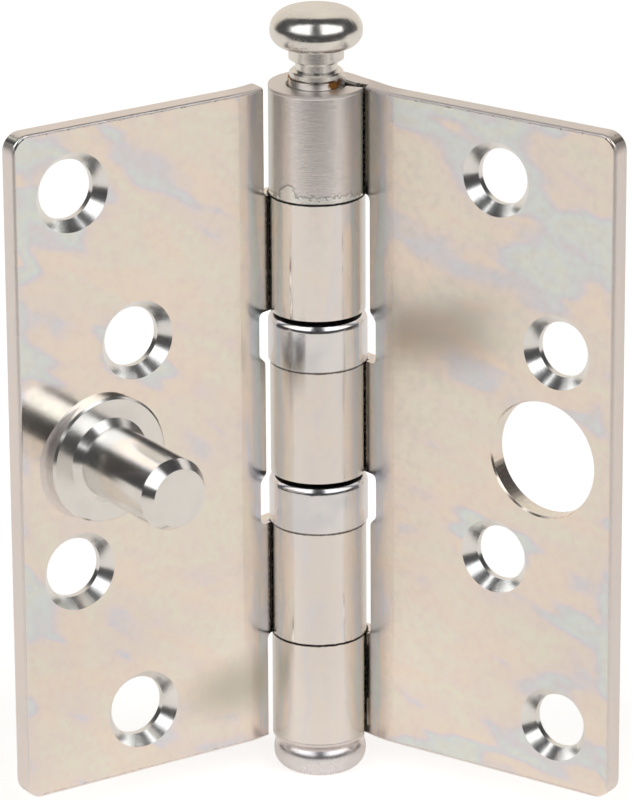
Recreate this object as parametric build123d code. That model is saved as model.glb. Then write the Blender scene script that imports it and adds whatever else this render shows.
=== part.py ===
"""Ball bearing butt hinge with a loose pin and a security stud.

Two folded steel leaves share one barrel: the frame leaf carries the top, middle and bottom knuckles,
and the door leaf the two between. Two thrust ball bearings carry the door leaf's weight. The pin
stands a little raised, with its split ring still on the mouth of the barrel.

The pieces are laid out about the pin axis: X along the frame leaf, -Y the way its countersunk face
looks, Z up the pin. At the end they all move so that the origin is on the frame leaf's seat.
"""

import os
from math import acos, asin, atan2, cos, degrees, hypot, radians, sin, sqrt, tan

from build123d import *

# Leaves, in millimetres and degrees
leaf_height = 89.0
leaf_width = 44.0  # pin axis to outer edge
sheet = 2.5
leaf_setback = 1.5  # pin axis back to the countersunk face
corner_radius = 2.4
edge_roll = 0.4  # rounding that blanking leaves on the countersunk side
ramp_start = 9.0  # pin axis to where the sheet bends back towards the barrel
ramp_bend_radius = 14.0
frame_seam = 0.55  # slot between the end of a curl and its own leaf
door_seam = 0.3
opening_angle = 111.5  # between the leaves, as they stand
seat_from_pin = 17.5  # reference point on the frame leaf's seat

# Barrel
pin_diameter = 7.3
pin_clearance = 0.05
end_knuckle = 14.3
middle_knuckle = 15.2
knuckle_gap = 0.2
bearing_height = 6.95
notch_clearance = 0.55  # leaf edge to the other leaf's knuckle
bearing_notch_clearance = 1.6  # leaf edge to the same barrel line beside a bearing
notch_corner = 0.8

# Screw holes and security hole
frame_screw_hole_diameter = 7.3
frame_countersink_diameter = 9.8
door_screw_hole_diameter = 7.9
door_countersink_diameter = 10.4
countersink_angle = 75.0
outer_screw_from_edge = 8.5
inner_screw_from_edge = 17.7
end_screw_from_end = 8.6
mid_screw_height = 14.7
security_hole_diameter = 15.3
security_hole_from_edge = 10.5

# Security stud
stud_from_edge = 12.5
stud_diameter = 9.4
stud_length = 16.2  # countersunk face to the start of the lead-in
stud_lead_in = 1.6
stud_tip_diameter = 7.5
stud_flange_diameter = 16.6
stud_flange = 1.3
stud_flange_bevel = 0.3
stud_collar_diameter = 11.2
stud_collar = 0.9
rivet_diameter = 7.0
rivet_head_diameter = 9.0
rivet_head = 1.0
rivet_clearance = 0.03

# Pin, its split ring, and the tip under the barrel
pin_raise = 5.0
pin_head_diameter = 11.9
pin_head = 4.8
head_rounding = 2.7
head_under_rounding = 2.0
pin_neck = 1.6
pin_neck_diameter = 7.1
pin_groove_diameter = 5.4
pin_groove = 3.4
pin_groove_shoulder = 0.5
pin_bead_diameter = 6.9
pin_bead = 0.75
pin_bead_bevel = 0.2
pin_point = 1.0
pin_end_gap = 1.5  # seated pin to the tip's plug
ring_height = 0.9
ring_slack = 0.2  # between the ring and the pin's bead above it
ring_opening = 38.0
ring_turn = 10.0  # middle of the ring's opening, from the frame leaf
ring_clearance = 0.05
tip_diameter = 12.1
tip_height = 4.7
tip_rounding = 2.2
tip_plug = 4.0
tip_plug_clearance = 0.03

# Thrust bearings
shell_proud = 0.225  # beyond the barrel
shell_wall = 0.45
shell_gap = 0.55  # below the knuckle above
shell_rounding = 1.05
shell_foot_bevel = 0.2
ball_count = 6
ball_share = 0.79  # of the cage's width
ball_height = 3.1  # centre above the bearing's underside
ball_play = 0.03
race_pin_gap = 0.2
race_gap = 0.8  # between the races
race_fit = 0.05  # lower race to shell
race_running_gap = 0.33  # upper race to shell
lip_gap = 0.2
lip_width = 0.925
cage_thickness = 0.5
cage_shell_gap = 0.22
cage_pocket_play = 0.05

# Worked out from the above
top = leaf_height / 2
bore_radius = pin_diameter / 2 + pin_clearance
barrel_radius = bore_radius + sheet
seat_y = leaf_setback + sheet
middle_top = middle_knuckle / 2
bearing_top = middle_top + bearing_height
end_bottom = top - end_knuckle
side_top = end_bottom - knuckle_gap
shallow_notch = barrel_radius + notch_clearance
deep_notch = barrel_radius + bearing_notch_clearance
outer_screw = leaf_width - outer_screw_from_edge
inner_screw = leaf_width - inner_screw_from_edge
end_screw_height = top - end_screw_from_end
shell_height = bearing_height - shell_gap
shell_radius = barrel_radius + shell_proud
shell_bore = shell_radius - shell_wall
shell_bevel = shell_rounding - shell_wall
lip_radius = shell_bore - lip_width
race_bore = pin_diameter / 2 + race_pin_gap
cage_radius = shell_bore - cage_shell_gap
ball_radius = (cage_radius - race_bore) / 2 * ball_share
ball_pitch = (cage_radius + race_bore) / 2


def sheet_section(seam):
    """The leaf's section across the pin: flat, ramp back to the barrel, and curl."""
    half = sheet / 2
    mid_y = leaf_setback + half
    curl_mid = bore_radius + half
    tangent = atan2(mid_y, ramp_start) + acos(curl_mid / hypot(ramp_start, mid_y))
    ramp = radians(90) - tangent
    bend_x = ramp_start + ramp_bend_radius * tan(ramp / 2)
    bend_y = mid_y + ramp_bend_radius
    curl_end = asin((bore_radius - seam) / barrel_radius) - ramp
    curl_sweep = 360 - degrees(tangent) + degrees(curl_end)

    def skin(offset):
        """One skin of the sheet, towards the seat for a positive offset."""
        bend = CenterArc((bend_x, bend_y), ramp_bend_radius - offset, -90, -degrees(ramp))
        curl = CenterArc((0, 0), curl_mid + offset, degrees(tangent), curl_sweep)
        flat = Line((leaf_width, mid_y + offset), bend @ 0)
        return [flat, bend, Line(bend @ 1, curl @ 0), curl]

    seat_skin = skin(half)
    screw_skin = skin(-half)
    outer_edge = Line(seat_skin[0] @ 0, screw_skin[0] @ 0)
    curl_face = Line(seat_skin[3] @ 1, screw_skin[3] @ 1)
    return make_face(Wire(seat_skin + screw_skin + [outer_edge, curl_face]))


def notch(points):
    """A gap in the leaf's barrel edge, from its outline in X and Z."""
    outline = FilletPolyline(*points, radius=notch_corner, close=True)
    return extrude(Plane.XZ * make_face(outline), 2 * leaf_width, both=True)


def end_notch():
    """Room for the other leaf's top knuckle."""
    return notch([(-leaf_width, leaf_height), (shallow_notch, leaf_height),
                  (shallow_notch, side_top), (-leaf_width, side_top)])


def middle_notch():
    """Room for the other leaf's middle knuckle and for both bearings."""
    step = deep_notch - shallow_notch
    upper = [(-leaf_width, bearing_top), (deep_notch, bearing_top),
             (deep_notch, middle_top + step), (shallow_notch, middle_top)]
    lower = [(x, -z) for x, z in reversed(upper)]
    return notch(upper + lower)


def side_notch():
    """Room for the other leaf's upper knuckle and the bearing below it."""
    step = deep_notch - shallow_notch
    return notch([(-leaf_width, end_bottom), (shallow_notch, end_bottom), (shallow_notch, bearing_top),
                  (deep_notch, bearing_top - step), (deep_notch, middle_top), (-leaf_width, middle_top)])


def turned(points, arc=360):
    """A solid of revolution about Z, from its outline in radius and height."""
    outline = make_face(Polyline(points, close=True))
    return revolve(Plane.XZ * outline, Axis.Z, arc)


def sunk_hole(diameter, mouth):
    """Cutter for a hole through the sheet, widened to a cone at the countersunk face."""
    spread = tan(radians(countersink_angle / 2))
    depth = (mouth - diameter) / 2 / spread
    cutter = turned([(0, -sheet), (mouth / 2 + sheet * spread, -sheet), (diameter / 2, depth),
                     (diameter / 2, 2 * sheet), (0, 2 * sheet)])
    return Rot(-90, 0, 0) * cutter


def on_face(from_pin, height):
    """A place on the countersunk face."""
    return Pos(from_pin, leaf_setback, height)


def leaf(seam, notches, screw_distances, screw_hole):
    """A leaf with its knuckles and screw holes, whose distances are listed from the top hole down."""
    body = extrude(sheet_section(seam), top, both=True)
    body = fillet(body.edges().filter_by(Axis.Y).group_by(Axis.X)[-1], corner_radius)
    face = body.faces().filter_by(Axis.Y).sort_by(Axis.Y)[0]
    outer = face.edges().sort_by(Axis.X)[-1]
    body = fillet(outer, edge_roll)
    for gap in notches:
        body -= gap
    heights = [end_screw_height, mid_screw_height, -mid_screw_height, -end_screw_height]
    for from_pin, height in zip(screw_distances, heights):
        body -= on_face(from_pin, height) * screw_hole
    return body


def frame_leaf():
    """Carries the top, middle and bottom knuckles and the hole that takes the stud."""
    upper = side_notch()
    lower = mirror(upper, about=Plane.XY)
    distances = [inner_screw, outer_screw] * 2
    screw_hole = sunk_hole(frame_screw_hole_diameter, frame_countersink_diameter)
    body = leaf(frame_seam, [upper, lower], distances, screw_hole)
    hole = sunk_hole(security_hole_diameter, security_hole_diameter + edge_roll)
    return body - on_face(leaf_width - security_hole_from_edge, 0) * hole


def stud_seat():
    """Cutter for the stud's rivet hole, countersunk from the seat side."""
    shank = rivet_diameter / 2 + rivet_clearance
    head = rivet_head_diameter / 2 + rivet_clearance
    return turned([(0, sheet), (shank, sheet), (shank, rivet_head - sheet), (head, -sheet),
                   (head, -2 * sheet), (0, -2 * sheet)])


def door_leaf():
    """Carries the two knuckles between, and the security stud."""
    upper = end_notch()
    lower = mirror(upper, about=Plane.XY)
    distances = [outer_screw, inner_screw] * 2
    screw_hole = sunk_hole(door_screw_hole_diameter, door_countersink_diameter)
    body = leaf(door_seam, [upper, middle_notch(), lower], distances, screw_hole)
    return body - on_face(leaf_width - stud_from_edge, 0) * Rot(90, 0, 0) * stud_seat()


def security_stud():
    """Turned stud with a flange, riveted over in the leaf's countersink."""
    shank = stud_diameter / 2
    flange = stud_flange_diameter / 2
    body = turned([(0, -sheet), (rivet_head_diameter / 2, -sheet), (rivet_diameter / 2, rivet_head - sheet),
                   (rivet_diameter / 2, 0), (flange, 0), (flange, stud_flange - stud_flange_bevel),
                   (flange - stud_flange_bevel, stud_flange), (stud_collar_diameter / 2, stud_flange),
                   (shank, stud_flange + stud_collar), (shank, stud_length),
                   (stud_tip_diameter / 2, stud_length + stud_lead_in), (0, stud_length + stud_lead_in)])
    return on_face(leaf_width - stud_from_edge, 0) * Rot(90, 0, 0) * body


def button(diameter, height, top_rounding, foot_rounding):
    """A disc with rounded edges, standing on the XY plane."""
    disc = Cylinder(diameter / 2, height, align=(Align.CENTER, Align.CENTER, Align.MIN))
    disc = fillet(disc.edges().filter_by(GeomType.CIRCLE).sort_by(Axis.Z)[-1], top_rounding)
    return fillet(disc.edges().filter_by(GeomType.CIRCLE).sort_by(Axis.Z)[0], foot_rounding)


def loose_pin():
    """Headed pin, grooved under its neck and again for the ring; the layout below raises it."""
    shank = pin_diameter / 2
    neck = pin_neck_diameter / 2
    groove = pin_groove_diameter / 2
    bead = pin_bead_diameter / 2
    groove_top = -pin_neck
    groove_floor = groove_top - pin_groove
    bead_floor = groove_floor + ring_height + ring_slack
    bead_top = bead_floor + pin_bead
    end = tip_plug + pin_end_gap - leaf_height
    shaft = turned([(0, pin_head / 2), (neck, pin_head / 2), (neck, groove_top),
                    (groove, groove_top - pin_groove_shoulder), (groove, bead_top),
                    (bead - pin_bead_bevel, bead_top), (bead, bead_top - pin_bead_bevel), (bead, bead_floor),
                    (groove, bead_floor), (groove, groove_floor), (shank, groove_floor),
                    (shank, end + pin_point), (shank - pin_point, end), (0, end)])
    head = button(pin_head_diameter, pin_head, head_rounding, head_under_rounding)
    return Pos(0, 0, top) * (shaft + head)


def retaining_ring():
    """Split spring ring at the foot of the pin's groove."""
    inner = pin_groove_diameter / 2 + ring_clearance
    foot = top - pin_neck - pin_groove
    band = turned([(inner, foot), (pin_diameter / 2, foot), (pin_diameter / 2, foot + ring_height),
                   (inner, foot + ring_height)], 360 - ring_opening)
    return Rot(0, 0, ring_turn + ring_opening / 2) * band


def bottom_tip():
    """Rounded tip whose plug is pressed into the bottom knuckle."""
    plug = Cylinder(bore_radius - tip_plug_clearance, tip_plug + tip_height / 2,
                    align=(Align.CENTER, Align.CENTER, Align.MAX))
    tip = button(tip_diameter, tip_height, tip_rounding, tip_rounding)
    return Pos(0, 0, -top) * (Pos(0, 0, tip_plug) * plug + Pos(0, 0, -tip_height) * tip)


def bearing_shell():
    """Drawn cup that covers the bearing, standing on the knuckle below."""
    ceiling = shell_height - shell_wall
    cup = Cylinder(shell_radius, shell_height, align=(Align.CENTER, Align.CENTER, Align.MIN))
    cup = fillet(cup.edges().filter_by(GeomType.CIRCLE).sort_by(Axis.Z)[-1], shell_rounding)
    cup = chamfer(cup.edges().filter_by(GeomType.CIRCLE).sort_by(Axis.Z)[0], shell_foot_bevel)
    room = turned([(0, -shell_wall), (shell_bore, -shell_wall), (shell_bore, ceiling - shell_bevel),
                   (shell_bore - shell_bevel, ceiling), (lip_radius, ceiling),
                   (lip_radius, 2 * shell_height), (0, 2 * shell_height)])
    return cup - room


def ball_track():
    """Cutter for the two V grooves that the balls run in, one in each race."""
    reach = (ball_radius + ball_play) * sqrt(2)
    return turned([(ball_pitch - reach, ball_height), (ball_pitch, ball_height - reach),
                   (ball_pitch + reach, ball_height), (ball_pitch, ball_height + reach)])


def lower_race():
    """Grooved washer pressed into the foot of the shell."""
    outer = shell_bore - race_fit
    thickness = ball_height - race_gap / 2
    washer = turned([(race_bore, 0), (outer, 0), (outer, thickness), (race_bore, thickness)])
    return washer - ball_track()


def upper_race():
    """Grooved washer whose boss comes up through the shell and carries the knuckle above."""
    foot = ball_height + race_gap / 2
    flange = shell_bore - race_running_gap
    flange_top = shell_height - shell_wall - lip_gap
    boss = lip_radius - race_running_gap
    washer = turned([(race_bore, foot), (flange, foot), (flange, flange_top - shell_bevel),
                     (flange - shell_bevel, flange_top), (boss, flange_top), (boss, bearing_height),
                     (race_bore, bearing_height)])
    return washer - ball_track()


def ball_place(index):
    """Where one ball stands in its bearing."""
    angle = radians(360 / ball_count * index)
    return Pos(ball_pitch * cos(angle), ball_pitch * sin(angle), ball_height)


def ball_cage():
    """Flat pierced ring that keeps the balls apart."""
    low = ball_height - cage_thickness / 2
    high = ball_height + cage_thickness / 2
    band = turned([(race_bore, low), (cage_radius, low), (cage_radius, high), (race_bore, high)])
    for index in range(ball_count):
        band -= ball_place(index) * Cylinder(ball_radius + cage_pocket_play, bearing_height)
    return band


def bearing():
    """One thrust bearing with its underside on the XY plane, as named pieces."""
    pieces = {"shell": bearing_shell(), "lower_race": lower_race(), "upper_race": upper_race(), "cage": ball_cage()}
    for index in range(ball_count):
        pieces[f"ball_{index + 1}"] = ball_place(index) * Sphere(ball_radius)
    return pieces


# The door leaf is made like the frame leaf, folded shut against it, then swung open
swing = Rot(0, 0, -opening_angle)
lift = Pos(0, 0, pin_raise)

pieces = {
    "frame_leaf": frame_leaf(),
    "door_leaf": swing * mirror(door_leaf(), about=Plane.XZ),
    "security_stud": swing * mirror(security_stud(), about=Plane.XZ),
    "bottom_tip": bottom_tip(),
    "loose_pin": lift * loose_pin(),
    "pin_retaining_ring": lift * retaining_ring(),
}
for bearing_name, underside in [("upper_bearing", middle_top), ("lower_bearing", -bearing_top)]:
    for piece_name, piece in bearing().items():
        pieces[f"{bearing_name}_{piece_name}"] = Pos(0, 0, underside) * piece

os.makedirs("parts", exist_ok=True)
for node, piece in pieces.items():
    placed = Pos(-seat_from_pin, -seat_y, 0) * piece
    placed.label = node
    export_step(placed, f"parts/{node}.step")
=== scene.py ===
from math import pi, radians

import bpy
from mathutils import Euler, Matrix, Vector


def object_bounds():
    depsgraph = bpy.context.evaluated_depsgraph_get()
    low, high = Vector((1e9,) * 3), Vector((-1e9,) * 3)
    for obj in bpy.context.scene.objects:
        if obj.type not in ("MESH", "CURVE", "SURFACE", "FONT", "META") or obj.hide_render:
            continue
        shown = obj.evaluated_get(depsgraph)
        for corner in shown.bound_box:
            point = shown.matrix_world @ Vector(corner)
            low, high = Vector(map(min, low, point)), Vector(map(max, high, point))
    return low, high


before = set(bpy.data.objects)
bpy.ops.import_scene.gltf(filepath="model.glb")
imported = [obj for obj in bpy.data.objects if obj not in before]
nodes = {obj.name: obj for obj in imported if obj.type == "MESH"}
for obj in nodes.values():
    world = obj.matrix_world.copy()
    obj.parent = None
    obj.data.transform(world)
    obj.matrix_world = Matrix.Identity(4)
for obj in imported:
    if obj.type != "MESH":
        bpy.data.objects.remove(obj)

cad_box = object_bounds()

# The frame leaf is blanked from 2.5 mm steel sheet, its barrel edge curled into three knuckles.
# It is bright zinc plated, and the passivation leaves faint pink, yellow and blue clouds.
# Its sheared edges stay matt, and the countersinks are cut bright before plating.
mm = 0.001  # places on the leaves are in millimetres from the pin axis, the scene is in metres
pin_axis = (-17.5 * mm, -4.0 * mm, 0.0)
frame_leaf_corner = Vector(nodes["frame_leaf"].bound_box[6])  # the top outer corner of the back
leaf_width = (frame_leaf_corner.x - pin_axis[0]) / mm
leaf_top = frame_leaf_corner.z / mm
leaf_back = -pin_axis[1] / mm
outer_screw = leaf_width - 8.5
inner_screw = leaf_width - 17.7
end_screw = leaf_top - 8.6
mid_screw = 14.7
screw_heights = [end_screw, mid_screw, -mid_screw, -end_screw]
frame_screws = [inner_screw, outer_screw] * 2
frame_countersink = 4.9
security_hole = (leaf_width - 10.5, 0.0, 0.0)
security_hole_radius = 7.65
barrel_radius = 6.2
barrel_front = (0.563, -0.827, 0.0)
ramp_head = 8.5
ramp_foot = 12.5
top_knuckle_foot = 30.2
chip_place = (-0.2, -6.2, 31.1)
knuckle_ends = [30.1, 7.55, -14.6, -30.1]
film_stretch = (2.6, 1.0, 1.0)
relief_depth = 0.010

plate_yellow = (0.91, 0.87, 0.77, 1.0)
plate_pink = (0.91, 0.82, 0.77, 1.0)
plate_orange = (0.96, 0.84, 0.74, 1.0)
plate_lilac = (0.80, 0.79, 0.85, 1.0)
plate_dull = (0.76, 0.73, 0.71, 1.0)
plate_blue = (0.79, 0.85, 0.87, 1.0)
plate_green = (0.83, 0.87, 0.83, 1.0)
# Painted shade for the sides of the knuckles, and the plate colour of their fronts
barrel_side_shade = (0.60, 0.63, 0.62, 1.0)
barrel_front_plate = (0.86, 0.83, 0.82, 1.0)
sheared_grey = (0.89, 0.83, 0.81, 1.0)
cut_grey = (0.88, 0.88, 0.87, 1.0)
rubbed_grey = (0.89, 0.85, 0.85, 1.0)
flaked_white = (0.95, 0.96, 0.93, 1.0)
stained = (0.63, 0.60, 0.52, 1.0)
# Near black, both for grime in the pits and round the flake and for painted shade in the gaps and seams; the
# grey below flecks the painted shade in the seam
grime_and_painted_shade = (0.03, 0.028, 0.025, 1.0)
seam_shade_fleck = (0.42, 0.39, 0.34, 1.0)

haze_roughness = 0.07
ramp_roughness = 0.13
cut_roughness = 0.17
edge_roughness = 0.22
rubbed_roughness = 0.02
# Roughness of the painted shade in the gaps and the seam
gap_and_seam_roughness = 0.4


class Value:
    """A number or colour that changes over a surface, as a socket to reckon with."""

    def __init__(self, finish, socket):
        self.finish = finish
        self.socket = socket

    def reckon(self, operation, *others):
        return self.finish.node("ShaderNodeMath", {"operation": operation}, [self, *others])

    def __add__(self, other):
        return self.reckon("ADD", other)

    __radd__ = __add__

    def __sub__(self, other):
        return self.reckon("SUBTRACT", other)

    def __rsub__(self, other):
        return self.finish.node("ShaderNodeMath", {"operation": "SUBTRACT"}, [other, self])

    def __mul__(self, other):
        return self.reckon("MULTIPLY", other)

    __rmul__ = __mul__

    def __abs__(self):
        return self.reckon("ABSOLUTE")

    def least(self, *others):
        """The smallest of this value and the others."""
        smallest = self
        for other in others:
            smallest = smallest.reckon("MINIMUM", other)
        return smallest

    def most(self, other):
        """The larger of two values."""
        return self.reckon("MAXIMUM", other)

    def rises(self, low, high):
        """0 below low, 1 above high and smooth between; falls instead where low is the higher."""
        return self.finish.node("ShaderNodeMapRange", {"interpolation_type": "SMOOTHSTEP"},
                                {"Value": self, "From Min": low, "From Max": high})


class Finish:
    """One procedural material, built up node by node."""

    def __init__(self, name):
        self.material = bpy.data.materials.new(name)
        self.material.use_nodes = True
        self.tree = self.material.node_tree
        self.shader = self.tree.nodes["Principled BSDF"]
        self.shader.inputs["Metallic"].default_value = 1.0
        self.position = self.node("ShaderNodeTexCoord", {}, {}, "Object")

    def node(self, kind, settings, values, output=0):
        """Adds a node, sets it up, and gives one of its outputs."""
        made = self.tree.nodes.new(kind)
        stops = settings.pop("stops", None)
        for name, setting in settings.items():
            setattr(made, name, setting)
        if stops:
            while len(made.color_ramp.elements) < len(stops):
                made.color_ramp.elements.new(1.0)
            for element, (place, colour) in zip(made.color_ramp.elements, stops):
                element.position = place
                element.color = colour
        named = values.items() if isinstance(values, dict) else enumerate(values)
        for key, value in named:
            self.plug(made.inputs[key], value)
        return Value(self, made.outputs[output])

    def plug(self, socket, value):
        if isinstance(value, Value):
            self.tree.links.new(value.socket, socket)
        else:
            socket.default_value = value

    def noise(self, place, scale, detail=2.0, roughness=0.5, distortion=0.0):
        return self.node("ShaderNodeTexNoise", {}, {"Vector": place, "Scale": scale, "Detail": detail,
                                                    "Roughness": roughness, "Distortion": distortion})

    def stretched(self, place, scale):
        return self.node("ShaderNodeMapping", {}, {"Vector": place, "Scale": scale})

    def placed(self, place, origin, turn, unit):
        """The place seen from an origin, turned by the given angles and measured in the given units."""
        return self.node("ShaderNodeMapping", {"vector_type": "TEXTURE"},
                         {"Vector": place, "Location": origin, "Rotation": turn, "Scale": unit})

    def blend(self, first, second, amount):
        """From the first colour to the second."""
        return self.node("ShaderNodeMix", {"data_type": "RGBA"}, {0: amount, 6: first, 7: second}, 2)

    def parts(self, vector):
        """The three numbers of a vector."""
        return [self.node("ShaderNodeSeparateXYZ", {}, [vector], axis) for axis in range(3)]

    def distance(self, place, point):
        return self.node("ShaderNodeVectorMath", {"operation": "DISTANCE"}, [place, point], "Value")

    def reach(self, vector, direction):
        """How far a vector goes in a direction."""
        return self.node("ShaderNodeVectorMath", {"operation": "DOT_PRODUCT"}, [vector, direction], "Value")

    def seen_as(self, colour, roughness):
        self.plug(self.shader.inputs["Base Color"], colour)
        self.plug(self.shader.inputs["Roughness"], roughness)

    def raised_by(self, height, depth):
        """Relief: the height in parts of the depth, which is in millimetres."""
        normal = self.node("ShaderNodeBump", {}, {"Strength": 1.0, "Distance": depth * mm, "Height": height})
        self.plug(self.shader.inputs["Normal"], normal)


def leaf_finish(name, turn, side, screws, countersink, polish, tilt, stain_place, stain_strength):
    """Zinc plate on one leaf: its flat runs out from the pin at the given turn, on the given side of it."""
    finish = Finish(name)
    place = finish.placed(finish.position, pin_axis, (0, 0, turn), (mm, mm * side, mm))
    along, depth, height = finish.parts(place)
    from_pin = finish.distance(finish.stretched(place, (1.0, 1.0, 0.0)), (0.0, 0.0, 0.0))
    front = finish.reach(place, barrel_front)
    on_face = finish.stretched(place, (1.0, 0.0, 1.0))
    screw_centres = [(screw, 0.0, up) for screw, up in zip(screws, screw_heights)]
    nearest, *farther = [finish.distance(on_face, centre) for centre in screw_centres]
    to_screw = nearest.least(*farther)
    to_rim = (leaf_width - along).least(leaf_top - abs(height))
    torn = finish.noise(place, 1.7, 3.0, 0.65)

    # The film of the plate, whose thickness runs through the colours and back
    tilted = finish.placed(place, (0, 0, 0), (0, tilt, 0), film_stretch)
    tide = finish.noise(tilted, 0.075, 0.5, 0.5, 1.0)
    streak = finish.noise(tilted, 0.26, 0.5, 0.5, 0.8)
    swirl = finish.noise(place, 0.5, 3.0, 0.6, 0.8)
    halo = to_screw.rises(9.5, 5.0) * 0.35 + to_rim.rises(2.4, 0.6) * 0.25
    film = tide * 3.2 + streak * 1.2 + swirl * 0.2 + halo - 2.1
    drawn_out = finish.stretched(place, (1.0, 1.0, 0.12))
    curled = finish.noise(drawn_out, 0.4, 2.0, 0.5, 0.4) * 2.2 - 0.8 + from_pin.rises(6.5, 8.0) * 0.2
    on_ramp = along.rises(ramp_foot, ramp_head)
    cycle = (film + (curled - film) * on_ramp).reckon("PINGPONG", 1.0)
    colour = finish.node("ShaderNodeValToRGB",
                         {"stops": [(0.0, plate_yellow), (0.45, plate_pink), (0.64, plate_lilac),
                                    (0.78, plate_blue), (1.0, plate_green)]}, [cycle])
    warmth = finish.noise(tilted, 0.16, 2.0, 0.5, 1.0)
    colour = finish.blend(colour, plate_orange, warmth.rises(0.45, 0.62) * cycle.rises(0.7, 0.4) * 0.9)
    haze = finish.noise(place, 0.9, 4.0, 0.6)
    colour = finish.blend(colour, plate_dull, haze.rises(0.42, 0.68) * 0.3)
    off_barrel = from_pin.rises(barrel_radius + 0.2, barrel_radius + 0.8)
    roughness = polish + haze * haze_roughness + on_ramp * off_barrel * ramp_roughness

    # A dull stain on the front face
    stain_along, stain_up = stain_place
    to_stain = finish.distance(finish.stretched(place, (1.0, 0.0, 2.0)), (stain_along, 0.0, stain_up * 2.0))
    colour = finish.blend(colour, stained, to_stain.rises(12.0, 1.0) * depth.rises(2.2, 1.8) * stain_strength)

    # The barrel: painted shade darkens the sides of the knuckles, and their fronts keep the plate colour
    on_barrel = from_pin.rises(barrel_radius + 0.3, barrel_radius + 0.1)
    barrel_shaded_round = finish.blend(barrel_side_shade, barrel_front_plate, front.rises(3.2, 5.4))
    colour = finish.blend(colour, barrel_shaded_round, on_barrel * 0.6)

    # The countersinks, not seen on the back face
    in_countersink = to_screw.rises(countersink + 0.04, countersink - 0.04)
    cut = in_countersink * depth.rises(leaf_back - 0.02, leaf_back - 0.1)
    colour = finish.blend(colour, cut_grey, cut)
    roughness = roughness + cut * (cut_roughness - polish)

    # The sheared edges and the bore of the security hole, with pits along the top
    bore = finish.distance(on_face, security_hole).rises(security_hole_radius, security_hole_radius - 0.05)
    edge = to_rim.rises(0.5, 0.3).most(bore)
    colour = finish.blend(colour, sheared_grey, edge * 0.85)
    rolled_edge = to_rim.rises(0.52, 0.42) * to_rim.rises(0.2, 0.3)
    pits = rolled_edge * torn.rises(0.56, 0.64) * height.rises(leaf_top - 1.0, leaf_top)
    colour = finish.blend(colour, grime_and_painted_shade, pits * 0.7)
    roughness = roughness + edge * edge_roughness

    # The top knuckle, rubbed round and flaked along its foot, with painted shade on its sides
    on_top_knuckle = on_barrel * height.rises(top_knuckle_foot - 0.4, top_knuckle_foot - 0.2)
    rubbed = on_top_knuckle * height.rises(leaf_top - 0.05, leaf_top - 0.1)
    # Painted shade on the sides of the rubbed knuckle
    rubbed_front_shaded_sides = finish.blend(barrel_side_shade, rubbed_grey, front.rises(2.6, 4.8))
    colour = finish.blend(colour, rubbed_front_shaded_sides, rubbed * 0.8)
    roughness = roughness + rubbed * rubbed_roughness
    scuffs = finish.noise(finish.stretched(place, (0.02, 0.02, 1.0)), 24.0, 2.0)
    to_chip = finish.distance(place, chip_place) - torn * 1.6 - 0.5
    to_foot = height - torn * 2.4 - front.rises(3.6, 4.6) * 0.5 - (top_knuckle_foot - 0.8)
    to_flake = to_chip.least(to_foot)
    flaked = to_flake.rises(0.06, -0.06) * rubbed
    colour = finish.blend(colour, grime_and_painted_shade, to_flake.rises(0.3, 0.08) * rubbed * 0.4)
    colour = finish.blend(colour, flaked_white, flaked)

    # Painted shade at the ends of the knuckles, in the gaps between them and in the seam of the curl, the
    # seam's shade flecked lighter
    closest, *others = [abs(height - end) for end in knuckle_ends]
    to_end = closest.least(*others)
    shaded_knuckle_end = on_barrel * (to_end + torn * 0.3).rises(0.36, 0.26)
    colour = finish.blend(colour, grime_and_painted_shade, shaded_knuckle_end * 0.85)
    # Painted shade in the seam of the curl, flecked lighter
    seam_shade = along.rises(4.0, 4.5) * along.rises(6.05, 5.9)
    seam_shade = seam_shade * depth.rises(1.6, 1.8) * depth.rises(3.2, 2.9)
    colour = finish.blend(colour, finish.blend(grime_and_painted_shade, seam_shade_fleck, torn.rises(0.45, 0.65)), seam_shade * 0.9)
    # Painted shade on the end faces of the knuckles inside the gaps
    facing_up = abs(finish.parts(finish.node("ShaderNodeNewGeometry", {}, {}, "Normal"))[2])
    gap_shade = facing_up.rises(0.6, 0.9) * on_barrel * abs(height).rises(leaf_top - 0.02, leaf_top - 0.1)
    colour = finish.blend(colour, grime_and_painted_shade, gap_shade)
    finish.seen_as(colour, roughness + gap_shade.most(seam_shade) * gap_and_seam_roughness)

    fine = finish.noise(place, 5.0, 2.0)
    grain = finish.noise(finish.stretched(place, (1.0, 1.0, 6.0)), 2.2, 3.0)
    edge_relief = grain * edge * 2.0 + torn * edge * 4.0
    knuckle_relief = scuffs * rubbed * 0.9 + flaked * 1.5
    finish.raised_by(haze * 0.3 + fine * (0.12 + cut * 0.3) + edge_relief + knuckle_relief, relief_depth)
    return finish.material


def dress(material, *names):
    for name in names:
        slots = nodes[name].data.materials
        slots.clear()
        slots.append(material)


frame_plate = leaf_finish("frame_leaf_plate", turn=0.0, side=1.0, screws=frame_screws,
                          countersink=frame_countersink, polish=0.17, tilt=radians(14),
                          stain_place=(11.6, 13.5), stain_strength=0.1)
dress(frame_plate, "frame_leaf")

# The bottom tip is a turned steel button whose plug is pressed into the lowest knuckle.
# It is plated with the leaves and has a soft satin shine.
tip_grey = (0.86, 0.84, 0.86, 1.0)
tip_cloud = (0.78, 0.76, 0.78, 1.0)


def turned_finish(name, light, dark, roughness, dimples, specks=0.0):
    """Turned and plated steel: a cloudy plate with rough specks, and dimples of a depth in millimetres."""
    finish = Finish(name)
    cloud = finish.noise(finish.position, 220.0, 3.0)
    dimple = finish.noise(finish.position, 2200.0, 3.0)
    colour = finish.blend(light, dark, cloud.rises(0.35, 0.7))
    finish.seen_as(colour, roughness + cloud * 0.08 + dimple.rises(0.48, 0.62) * specks)
    finish.raised_by(dimple + cloud * 0.8, dimples)
    return finish.material


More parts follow.
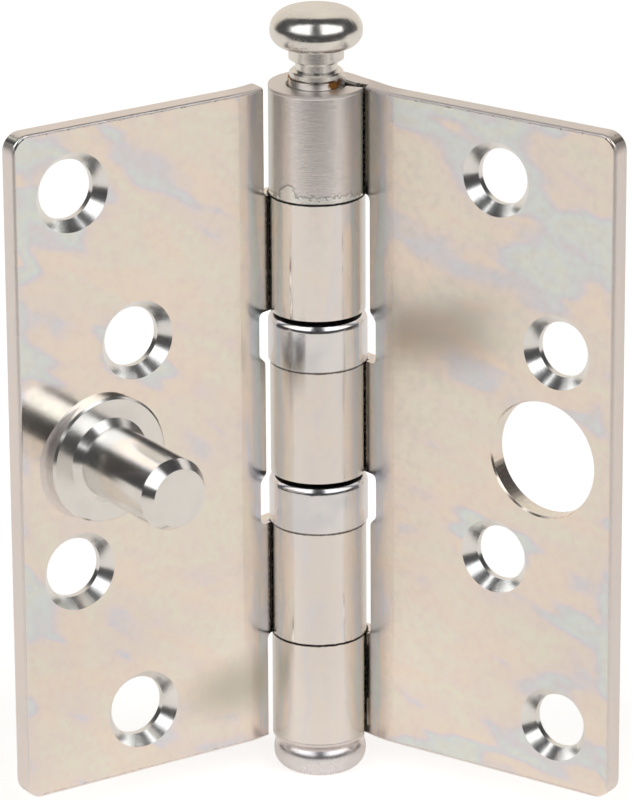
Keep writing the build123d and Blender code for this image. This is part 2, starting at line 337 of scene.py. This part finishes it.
tip_plate = turned_finish("tip_plate", tip_grey, tip_cloud, roughness=0.24, dimples=0.005, specks=0.02)
dress(tip_plate, "bottom_tip")

# Each thrust bearing is a drawn steel shell over two grooved races, with balls in a brass cage.
# The shell is the brightest piece of the barrel; the rest is out of sight, and the races are painted near
# black as painted shade in the gap above the shell.
shell_light = (0.86, 0.85, 0.86, 1.0)
shell_dark = (0.76, 0.77, 0.80, 1.0)
# The races are painted near black, as painted shade
race_shade_light = (0.10, 0.095, 0.09, 1.0)
race_shade_dark = (0.05, 0.048, 0.045, 1.0)
brass_light = (0.70, 0.52, 0.26, 1.0)
brass_dark = (0.58, 0.41, 0.18, 1.0)
ball_light = (0.78, 0.78, 0.80, 1.0)
ball_dark = (0.70, 0.70, 0.73, 1.0)
ball_count = 6

shell_plate = turned_finish("bearing_shell_plate", shell_light, shell_dark, roughness=0.13, dimples=0.003)
race_steel = turned_finish("race_steel", race_shade_light, race_shade_dark, roughness=0.22, dimples=0.004)
cage_brass = turned_finish("cage_brass", brass_light, brass_dark, roughness=0.28, dimples=0.003)
ball_steel = turned_finish("ball_steel", ball_light, ball_dark, roughness=0.05, dimples=0.0005)
for bearing in ("upper_bearing", "lower_bearing"):
    dress(shell_plate, f"{bearing}_shell")
    dress(race_steel, f"{bearing}_lower_race", f"{bearing}_upper_race")
    dress(cage_brass, f"{bearing}_cage")
    dress(ball_steel, *[f"{bearing}_ball_{number + 1}" for number in range(ball_count)])

# The door leaf is blanked, curled and plated like the frame leaf, with two knuckles.
# It stands open by the angle between the leaves.
opening = radians(111.5)
door_screws = [outer_screw, inner_screw] * 2
door_countersink = 5.2
door_plate = leaf_finish("door_leaf_plate", turn=-opening, side=-1.0, screws=door_screws,
                         countersink=door_countersink, polish=0.09, tilt=radians(-34),
                         stain_place=(12.0, -36.0), stain_strength=1.0)
dress(door_plate, "door_leaf")

# The security stud is turned from bar with a flange, and riveted through the door leaf.
# It is bright, with fine turning lines round it.
stud_light = (0.86, 0.85, 0.83, 1.0)
stud_dark = (0.80, 0.79, 0.77, 1.0)
stud_roughness = 0.15
turning_line_depth = 0.003


def stud_finish():
    finish = Finish("stud_plate")
    place = finish.placed(finish.position, pin_axis, (0, 0, -opening), (mm, mm, mm))
    cloud = finish.noise(place, 0.22, 3.0)
    rings = finish.noise(finish.stretched(place, (0.05, 1.0, 0.05)), 9.0, 2.0)
    finish.seen_as(finish.blend(stud_light, stud_dark, cloud.rises(0.35, 0.7)), stud_roughness + cloud * 0.08)
    finish.raised_by(rings + cloud * 0.5, turning_line_depth)
    return finish.material


dress(stud_finish(), "security_stud")

# The loose pin is a turned steel pin with a rounded head, a neck and a groove.
# Its head has a satin plate, rubbed where it is gripped and tapped.
pin_light = (0.87, 0.85, 0.81, 1.0)
pin_dark = (0.80, 0.78, 0.75, 1.0)
pin_plate = turned_finish("pin_plate", pin_light, pin_dark, roughness=0.18, dimples=0.006, specks=0.05)
dress(pin_plate, "loose_pin")

# The retaining ring is a split ring of spring steel, snapped into the groove of the pin.
# Its cut ends have a little rust on them.
ring_steel = (0.90, 0.88, 0.84, 1.0)
ring_rust = (0.42, 0.19, 0.05, 1.0)
ring_roughness = 0.15
rust_roughness = 0.4
ring_level = 45.0 * mm
ring_end = (pin_axis[0] + 3.6 * mm, pin_axis[1] - 0.6 * mm, ring_level)
ring_far_side = (pin_axis[0] - 3.0 * mm, pin_axis[1] - 2.1 * mm, ring_level)


def ring_finish():
    finish = Finish("ring_steel")
    patchy = finish.noise(finish.position, 1500.0, 3.0) * 1.2 * mm
    to_end = finish.distance(finish.position, ring_end) - patchy
    to_far_side = finish.distance(finish.position, ring_far_side) - patchy
    rust = to_end.rises(0.9 * mm, 0.5 * mm).most(to_far_side.rises(0.5 * mm, 0.1 * mm))
    finish.seen_as(finish.blend(ring_steel, ring_rust, rust), ring_roughness + rust * rust_roughness)
    return finish.material


dress(ring_finish(), "pin_retaining_ring")

# The hinge stands on its tip on a white sheet, before a white backdrop, with two soft boxes above it.
# The room on the camera's side is dark, and shows as the black bands in the rounded metal.
view_turn = radians(35.08)
view_down = radians(19.785)
view_roll = radians(-0.323)
view_distance = 0.75332
view_focal_px = 5821.0
photo_height_px = 800
view_target = Vector((-0.217 * mm, 0.0, 1.74 * mm))
floor_level = cad_box[0].z
sheet_width = 6.0
sheet_front = 0.29  # pin axis to the end of the white sheet, on the camera's side
sheet_back = 3.0
sheet_grey = (0.9, 0.9, 0.9, 1.0)
sheet_white = (1.0, 1.0, 1.0, 1.0)
sheet_reflected = (0.51, 0.45, 0.38, 1.0)
sheet_glow = 0.6
sheet_roughness = 0.9

bpy.ops.object.select_all(action="DESELECT")
turned_about_pin = Matrix.Rotation(view_turn, 3, "Z")
sheet_centre = Vector((0, (sheet_back - sheet_front) / 2, floor_level))
sheet_middle = Vector(pin_axis) + turned_about_pin @ sheet_centre
bpy.ops.mesh.primitive_plane_add(size=1.0, location=sheet_middle, rotation=(0, 0, view_turn))
floor = bpy.context.object
floor.scale = (sheet_width, sheet_back + sheet_front, 1.0)
floor.name = "floor"
floor_finish = Finish("floor_white")
floor_finish.shader.inputs["Metallic"].default_value = 0.0
floor_finish.shader.inputs["Emission Strength"].default_value = sheet_glow
floor_finish.seen_as(sheet_grey, sheet_roughness)
seen = floor_finish.node("ShaderNodeLightPath", {}, {}, "Is Camera Ray")
sheet_light = floor_finish.blend(sheet_reflected, sheet_white, seen)
floor_finish.plug(floor_finish.shader.inputs["Emission Color"], sheet_light)
floor.data.materials.append(floor_finish.material)

look = Euler((pi / 2 - view_down, 0.0, view_turn)).to_matrix() @ Matrix.Rotation(view_roll, 3, "Z")
target = Vector(pin_axis) + turned_about_pin @ view_target
camera_data = bpy.data.cameras.new("camera")
camera_data.sensor_fit = "VERTICAL"
camera_data.sensor_height = 24.0
camera_data.lens = view_focal_px / photo_height_px * camera_data.sensor_height
camera = bpy.data.objects.new("camera", camera_data)
camera.matrix_world = Matrix.LocRotScale(target + look @ Vector((0, 0, view_distance)), look, None)
bpy.context.scene.collection.objects.link(camera)
bpy.context.scene.camera = camera

backdrop_warm = (0.80, 0.735, 0.655, 1.0)
room_dark = (0.058, 0.056, 0.058, 1.0)
soft_box_white = (1.5, 1.5, 1.5, 1.0)
world = bpy.data.worlds.new("studio")
world.use_nodes = True
bpy.context.scene.world = world


class Studio(Finish):
    """The white studio round the object, as a world."""

    def __init__(self):
        self.tree = world.node_tree
        self.position = self.node("ShaderNodeTexCoord", {}, {}, "Generated")


studio = Studio()
ahead = studio.reach(studio.position, turned_about_pin @ Vector((0, -1, 0)))
aside = abs(studio.reach(studio.position, turned_about_pin @ Vector((1, 0, 0))))
up = studio.parts(studio.position)[2]
dark_room = ahead.rises(-0.62, -0.50)
box_height = up.rises(0.36, 0.40) * (ahead - up * 0.15).rises(-0.02, 0.02)
box_inner_side = (aside - up * 0.09 - ahead * 0.22).rises(-0.01, 0.01)
box_outer_side = (up * 0.95 + ahead * 1.74 - aside).rises(-0.02, 0.02)
soft_boxes = box_height * (box_inner_side * box_outer_side)
colour = studio.blend(backdrop_warm, room_dark, dark_room)
colour = studio.blend(colour, soft_box_white, soft_boxes)
seen = studio.node("ShaderNodeLightPath", {}, {}, "Is Camera Ray")
colour = studio.blend(colour, sheet_white, seen)
studio.plug(studio.tree.nodes["Background"].inputs["Color"], colour)

bpy.context.scene.view_settings.view_transform = "Standard"
